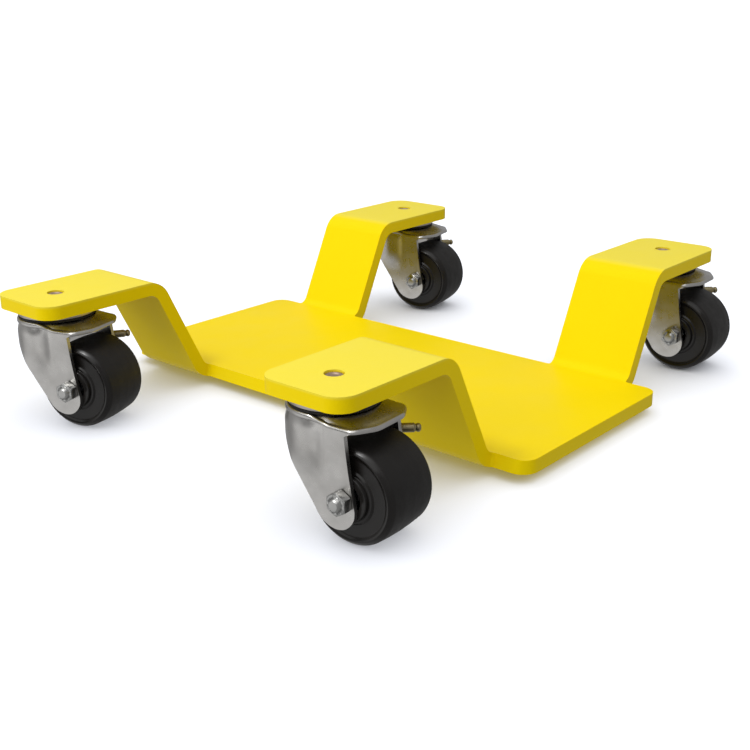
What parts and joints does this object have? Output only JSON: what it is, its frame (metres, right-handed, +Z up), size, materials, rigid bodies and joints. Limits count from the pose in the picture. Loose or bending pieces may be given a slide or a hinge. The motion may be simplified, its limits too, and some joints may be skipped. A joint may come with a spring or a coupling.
{
  "type": "wheel dolly",
  "caption": "Thick bent steel plate with a low deck for a tyre between steep arms that end in flat pads, each carried by a swivel caster with a wide hard wheel.",
  "frame": {"origin": "centre of the deck's upper face, where the tyre rests", "axes": "+Z up, away from the floor, which lies 17 mm below the origin. +X across the trough, from the left pair of casters to the right pair. +Y along the trough, from the front pair of casters to the back pair."},
  "size_m": [0.4845, 0.404, 0.096],
  "materials": {
    "yellow_coat": "smooth powder coat, satin to semi-gloss",
    "zinc_steel": "satin bright zinc plate on pressed steel",
    "bearing_steel": "ground and hardened",
    "stud_steel": "yellowish plated, worn satin",
    "seal_rubber": "matt",
    "wheel_black": "moulded hard black nylon, satin tread"
  },
  "bodies": {
    "frame": {"bent_plate": "yellow_coat", "kingpin_front_left": "stud_steel", "top_race_front_left": "zinc_steel", "lower_race_front_left": "zinc_steel", "kingpin_nut_front_left": "zinc_steel", "kingpin_back_left": "stud_steel", "top_race_back_left": "zinc_steel", "lower_race_back_left": "zinc_steel", "kingpin_nut_back_left": "zinc_steel", "kingpin_front_right": "stud_steel", "top_race_front_right": "zinc_steel", "lower_race_front_right": "zinc_steel", "kingpin_nut_front_right": "zinc_steel", "kingpin_back_right": "stud_steel", "top_race_back_right": "zinc_steel", "lower_race_back_right": "zinc_steel", "kingpin_nut_back_right": "zinc_steel"},
    "fork_front_left": {"fork_front_left": "zinc_steel", "dust_seal_front_left": "seal_rubber", "upper_ball_ring_front_left": "bearing_steel", "lower_ball_ring_front_left": "bearing_steel", "grease_nipple_front_left": "stud_steel", "axle_bolt_front_left": "zinc_steel", "axle_nut_front_left": "zinc_steel", "axle_sleeve_front_left": "bearing_steel"},
    "wheel_front_left": {"wheel_front_left": "wheel_black", "roller_bearing_front_left": "bearing_steel"},
    "fork_back_left": {"fork_back_left": "zinc_steel", "dust_seal_back_left": "seal_rubber", "upper_ball_ring_back_left": "bearing_steel", "lower_ball_ring_back_left": "bearing_steel", "grease_nipple_back_left": "stud_steel", "axle_bolt_back_left": "zinc_steel", "axle_nut_back_left": "zinc_steel", "axle_sleeve_back_left": "bearing_steel"},
    "wheel_back_left": {"wheel_back_left": "wheel_black", "roller_bearing_back_left": "bearing_steel"},
    "fork_front_right": {"fork_front_right": "zinc_steel", "dust_seal_front_right": "seal_rubber", "upper_ball_ring_front_right": "bearing_steel", "lower_ball_ring_front_right": "bearing_steel", "grease_nipple_front_right": "stud_steel", "axle_bolt_front_right": "zinc_steel", "axle_nut_front_right": "zinc_steel", "axle_sleeve_front_right": "bearing_steel"},
    "wheel_front_right": {"wheel_front_right": "wheel_black", "roller_bearing_front_right": "bearing_steel"},
    "fork_back_right": {"fork_back_right": "zinc_steel", "dust_seal_back_right": "seal_rubber", "upper_ball_ring_back_right": "bearing_steel", "lower_ball_ring_back_right": "bearing_steel", "grease_nipple_back_right": "stud_steel", "axle_bolt_back_right": "zinc_steel", "axle_nut_back_right": "zinc_steel", "axle_sleeve_back_right": "bearing_steel"},
    "wheel_back_right": {"wheel_back_right": "wheel_black", "roller_bearing_back_right": "bearing_steel"}
  },
  "joints": [
    {"name": "swivel_front_left", "type": "hinge", "parent": "frame", "child": "fork_front_left", "pos_m": [-0.202, -0.14, 0.0635], "axis": [0, 0, 1], "continuous": true},
    {"name": "spin_front_left", "type": "hinge", "parent": "fork_front_left", "child": "wheel_front_left", "pos_m": [-0.20006, -0.16583, 0.01475], "axis": [0.9972, 0.075, 0], "continuous": true},
    {"name": "swivel_back_left", "type": "hinge", "parent": "frame", "child": "fork_back_left", "pos_m": [-0.202, 0.14, 0.0635], "axis": [0, 0, 1], "continuous": true},
    {"name": "spin_back_left", "type": "hinge", "parent": "fork_back_left", "child": "wheel_back_left", "pos_m": [-0.19408, 0.11534, 0.01475], "axis": [0.9521, 0.3057, 0], "continuous": true},
    {"name": "swivel_front_right", "type": "hinge", "parent": "frame", "child": "fork_front_right", "pos_m": [0.202, -0.14, 0.0635], "axis": [0, 0, 1], "continuous": true},
    {"name": "spin_front_right", "type": "hinge", "parent": "fork_front_right", "child": "wheel_front_right", "pos_m": [0.2034, -0.16586, 0.01475], "axis": [0.9985, 0.0541, 0], "continuous": true},
    {"name": "swivel_back_right", "type": "hinge", "parent": "frame", "child": "fork_back_right", "pos_m": [0.202, 0.14, 0.0635], "axis": [0, 0, 1], "continuous": true},
    {"name": "spin_back_right", "type": "hinge", "parent": "fork_back_right", "child": "wheel_back_right", "pos_m": [0.20725, 0.11464, 0.01475], "axis": [0.9792, 0.2028, 0], "continuous": true}
  ]
}
